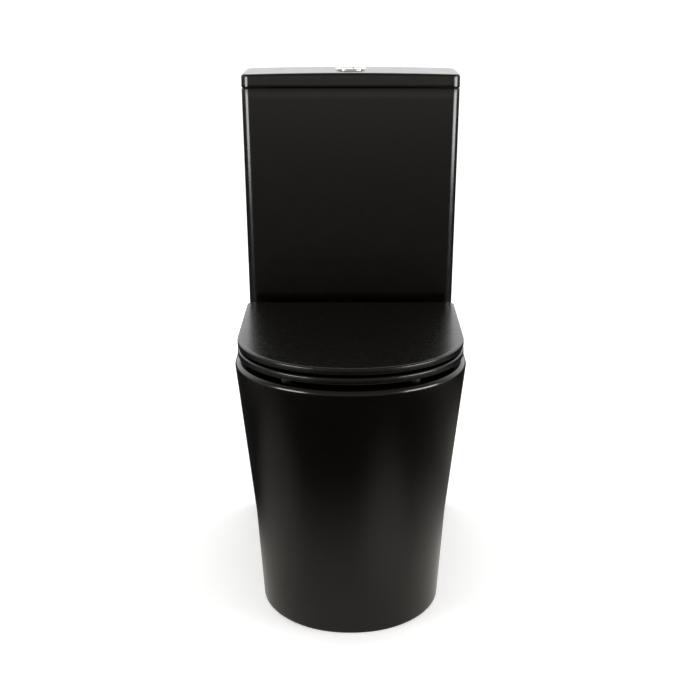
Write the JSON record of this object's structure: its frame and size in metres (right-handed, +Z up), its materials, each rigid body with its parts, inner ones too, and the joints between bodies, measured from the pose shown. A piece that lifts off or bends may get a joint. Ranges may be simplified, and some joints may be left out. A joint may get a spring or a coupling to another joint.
{
  "type": "close coupled toilet",
  "caption": "Back-to-wall close coupled toilet with a rimless bowl, a tapered cistern, a slim D-shaped seat and lid on hinges, and a dual flush valve worked by buttons in its lid.",
  "frame": {"origin": "on the floor, under the middle of the overall box; the wall is the plane at the back, y = 0.3025 m", "axes": "+Z up, -Y out of the front of the seat, +Y towards the wall, +X to the right of someone who faces the toilet"},
  "size_m": [0.3712, 0.605, 0.831],
  "materials": {
    "glazed_ceramic": "matt black vitreous glaze",
    "black_duroplast": "satin black urea moulding",
    "black_rubber": "matt",
    "foam_rubber": "fine-celled foam",
    "silicone": "satin",
    "white_plastic": "moulded",
    "grey_plastic": "moulded",
    "blue_plastic": "moulded",
    "black_hinge_plastic": "satin",
    "chrome_plate": "polished",
    "stainless_steel": "turned",
    "zinc_steel": "bright zinc plate"
  },
  "bodies": {
    "toilet": {"pan": "glazed_ceramic", "bowl": "glazed_ceramic", "trapway": "glazed_ceramic", "cistern_tank": "glazed_ceramic", "tank_pads": "black_rubber", "outlet_gasket": "black_rubber", "flush_valve_nut": "white_plastic", "coupling_gasket": "foam_rubber", "coupling_bolts": "zinc_steel", "coupling_seals": "black_rubber", "coupling_washers": "zinc_steel", "wing_nuts": "zinc_steel", "flush_valve_base": "white_plastic", "flush_valve_cage": "white_plastic", "lever_pins": "stainless_steel", "fill_valve_body": "white_plastic", "fill_valve_head": "grey_plastic", "fill_lever_pin": "stainless_steel", "inlet_gasket": "black_rubber", "inlet_backnut": "grey_plastic", "hinge_plates": "stainless_steel", "hinge_blocks": "black_hinge_plastic", "hinge_pins": "stainless_steel", "seat_bolts": "stainless_steel", "seat_bushes": "black_rubber", "seat_nuts": "white_plastic", "floor_brackets": "grey_plastic", "side_sleeves": "white_plastic", "side_screws": "stainless_steel", "side_caps": "chrome_plate"},
    "seat_ring": {"seat_ring": "black_duroplast", "ring_bumpers": "black_rubber"},
    "seat_lid": {"seat_lid": "black_duroplast", "cover_bumpers": "black_rubber"},
    "cistern_lid": {"cistern_lid": "glazed_ceramic", "button_bezel": "chrome_plate", "button_housing": "grey_plastic", "button_nut": "grey_plastic", "full_flush_spring": "stainless_steel", "half_flush_spring": "stainless_steel"},
    "full_flush_button": {"full_flush_button": "chrome_plate", "full_flush_rod": "white_plastic"},
    "half_flush_button": {"half_flush_button": "chrome_plate", "half_flush_rod": "white_plastic"},
    "full_flush_lever": {"full_flush_lever": "blue_plastic"},
    "half_flush_lever": {"half_flush_lever": "blue_plastic"},
    "overflow_tube": {"overflow_tube": "white_plastic", "flush_seal": "silicone"},
    "half_flush_float": {"half_flush_float": "blue_plastic"},
    "fill_valve_float": {"fill_valve_float": "grey_plastic", "float_link": "white_plastic"},
    "fill_valve_lever": {"fill_valve_lever": "grey_plastic"}
  },
  "joints": [
    {"name": "seat_ring_hinge", "type": "hinge", "parent": "toilet", "child": "seat_ring", "pos_m": [0, 0.1135, 0.4195], "axis": [1, 0, 0], "range_deg": [-92.5, 0]},
    {"name": "seat_lid_hinge", "type": "hinge", "parent": "seat_ring", "child": "seat_lid", "pos_m": [0, 0.1135, 0.4195], "axis": [-1, 0, 0], "range_deg": [0, 92.5]},
    {"name": "cistern_lid_lift", "type": "slide", "parent": "toilet", "child": "cistern_lid", "axis": [0, 0, 1], "range_m": [0, 0.25]},
    {"name": "full_flush_press", "type": "slide", "parent": "cistern_lid", "child": "full_flush_button", "axis": [0, 0, -1], "range_m": [0, 0.006], "stiffness_N_per_m": 400, "springref_m": -0.003, "deforming": ["full_flush_spring"]},
    {"name": "half_flush_press", "type": "slide", "parent": "cistern_lid", "child": "half_flush_button", "axis": [0, 0, -1], "range_m": [0, 0.006], "stiffness_N_per_m": 400, "springref_m": -0.003, "deforming": ["half_flush_spring"]},
    {"name": "full_flush_lever_turn", "type": "hinge", "parent": "toilet", "child": "full_flush_lever", "pos_m": [-0.025, 0.226, 0.7235], "axis": [0, 1, 0], "range_deg": [0, 35]},
    {"name": "half_flush_lever_turn", "type": "hinge", "parent": "toilet", "child": "half_flush_lever", "pos_m": [0.025, 0.226, 0.7235], "axis": [0, -1, 0], "range_deg": [0, 35]},
    {"name": "overflow_tube_lift", "type": "slide", "parent": "toilet", "child": "overflow_tube", "axis": [0, 0, 1], "range_m": [0, 0.009]},
    {"name": "half_flush_float_lift", "type": "slide", "parent": "toilet", "child": "half_flush_float", "axis": [0, 0, 1], "range_m": [0, 0.009]},
    {"name": "fill_float_rise", "type": "slide", "parent": "toilet", "child": "fill_valve_float", "axis": [0, 0, 1], "range_m": [0, 0.012]},
    {"name": "fill_lever_turn", "type": "hinge", "parent": "toilet", "child": "fill_valve_lever", "pos_m": [0.136, 0.226, 0.672], "axis": [0, 1, 0], "range_deg": [0, 25.4]}
  ],
  "couplings": [
    {"joint": "full_flush_lever_turn", "follows": "full_flush_press", "rad_per_m": 87.266},
    {"joint": "half_flush_lever_turn", "follows": "half_flush_press", "rad_per_m": 87.266},
    {"joint": "overflow_tube_lift", "follows": "full_flush_press", "ratio": 1.5},
    {"joint": "half_flush_float_lift", "follows": "half_flush_press", "ratio": 1.5},
    {"joint": "fill_lever_turn", "follows": "fill_float_rise", "rad_per_m": 36.942}
  ]
}
